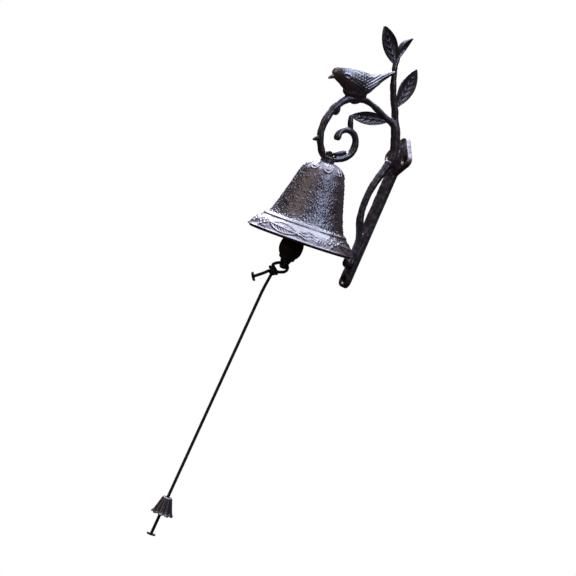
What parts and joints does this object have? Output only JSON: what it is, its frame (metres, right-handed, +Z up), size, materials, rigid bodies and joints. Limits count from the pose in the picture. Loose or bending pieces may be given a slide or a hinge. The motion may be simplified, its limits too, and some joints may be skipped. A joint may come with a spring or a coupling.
{
  "type": "wall mounted bell",
  "caption": "Cast branch bracket with a perched bird and leaves, holding a bolted garden bell with a hanging clapper, pull cord and fluted pull weight.",
  "frame": {"origin": "the back plate's wall face, midway between its two top screw holes", "axes": "+Z up, +Y into the wall, -Y out from the wall towards the bell; the scroll, bird and bell lie on the plane x = 0"},
  "size_m": [0.106, 0.12, 0.5335],
  "materials": {
    "cast_bracket": "antique brown-black lacquer over sand-cast iron, semi-gloss",
    "cast_leaf": "antique brown-black lacquer over sand-cast iron, semi-gloss",
    "cast_bird": "antique brown-black lacquer over sand-cast iron, semi-gloss",
    "cast_bell": "antique brown-black lacquer over grainy sand-cast iron, semi-gloss",
    "hardware": "blackened steel, dull",
    "clapper_iron": "black paint over cast iron, satin",
    "cord": "black waxed cord",
    "cast_weight": "antique brown-black lacquer over cast iron, semi-gloss"
  },
  "bodies": {
    "bracket": {"back_plate": "cast_bracket", "branch": "cast_bracket", "root_knob": "cast_bracket", "main_stem": "cast_bracket", "arch": "cast_bracket", "scroll_side": "cast_bracket", "bell_boss": "cast_bracket", "scroll_curl": "cast_bracket", "tendril": "cast_bracket", "thorn": "cast_bracket", "side_bud": "cast_bracket", "curl_bud": "cast_bracket", "arch_bud": "cast_bracket", "perch": "cast_bracket", "leaf_top_front": "cast_leaf", "leaf_top_rear": "cast_leaf", "leaf_side": "cast_leaf", "leaf_inner": "cast_leaf", "bird": "cast_bird", "bird_beak": "cast_bird", "bell": "cast_bell", "eye_bolt": "hardware", "top_washer": "hardware", "top_nut": "hardware", "inner_washer": "hardware", "inner_nut": "hardware"},
    "link": {"clapper_link": "hardware"},
    "clapper": {"clapper": "clapper_iron"},
    "cord_top": {"cord_loop": "cord", "cord_knot": "cord", "cord_tail": "cord", "tail_head": "cord"},
    "cord": {"pull_cord": "cord", "stop_knot": "cord", "end_head": "cord"},
    "weight": {"pull_weight": "cast_weight"}
  },
  "joints": [
    {"name": "link_swing", "type": "hinge", "parent": "bracket", "child": "link", "pos_m": [0, -0.07295, -0.04764], "axis": [1, 0, 0], "range_deg": [-20, 32]},
    {"name": "clapper_swing", "type": "hinge", "parent": "link", "child": "clapper", "pos_m": [0, -0.07295, -0.05674], "axis": [0, 1, 0], "range_deg": [-12, 12]},
    {"name": "loop_swing", "type": "hinge", "parent": "clapper", "child": "cord_top", "pos_m": [0, -0.07295, -0.13734], "axis": [0, 1, 0], "range_deg": [-30, 30]},
    {"name": "cord_swing", "type": "hinge", "parent": "cord_top", "child": "cord", "pos_m": [0, -0.081, -0.146], "axis": [1, 0, 0], "range_deg": [-12, 15]},
    {"name": "weight_slide", "type": "slide", "parent": "cord", "child": "weight", "axis": [0, 0.0222, 0.9998], "range_m": [0, 0.03]}
  ]
}
